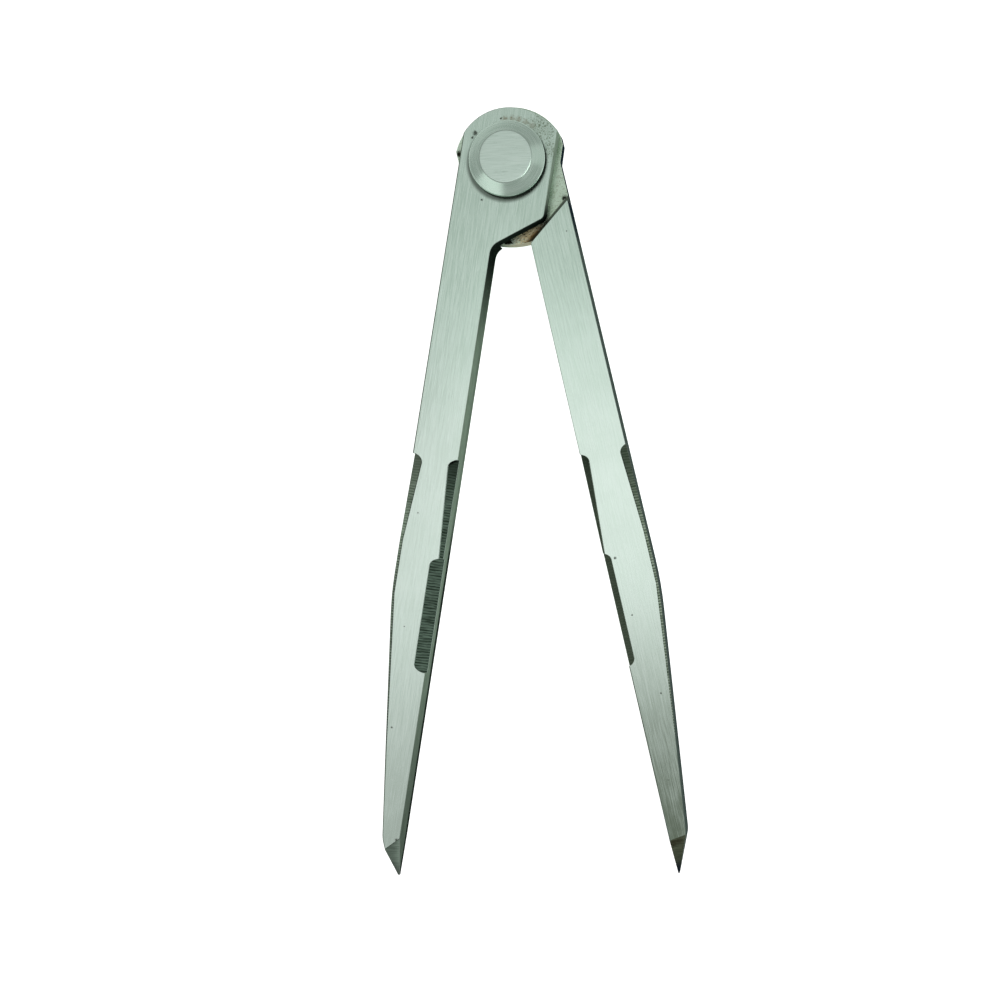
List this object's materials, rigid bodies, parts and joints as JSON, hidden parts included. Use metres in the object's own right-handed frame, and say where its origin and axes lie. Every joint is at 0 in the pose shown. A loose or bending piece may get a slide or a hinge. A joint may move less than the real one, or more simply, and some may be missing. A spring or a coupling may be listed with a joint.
{
  "type": "layout divider",
  "caption": "Flat steel firm-joint layout divider: tapered legs with ground points, half-lapped at a riveted head, that open stiffly to step off or scribe distances.",
  "frame": {"origin": "on the pivot axis, at the flat of the washer behind the legs, on which the divider lies", "axes": "+Z out of the front faces along the pivot, +Y from the points toward the head, +X to the right seen from the front"},
  "size_m": [0.0766, 0.1955, 0.019],
  "materials": {
    "leg_steel": "ground along the length, lightly stained",
    "rivet_steel": "turned, with a brushed flat"
  },
  "bodies": {
    "front": {"front_leg": "leg_steel", "pivot_rivet": "rivet_steel", "rear_washer": "rivet_steel"},
    "rear": {"rear_leg": "leg_steel"}
  },
  "joints": [
    {"name": "leg_pivot", "type": "hinge", "parent": "front", "child": "rear", "pos_m": [0, 0, 0.0095], "axis": [0, 0, 1], "range_deg": [-22.3, 157.7]}
  ]
}
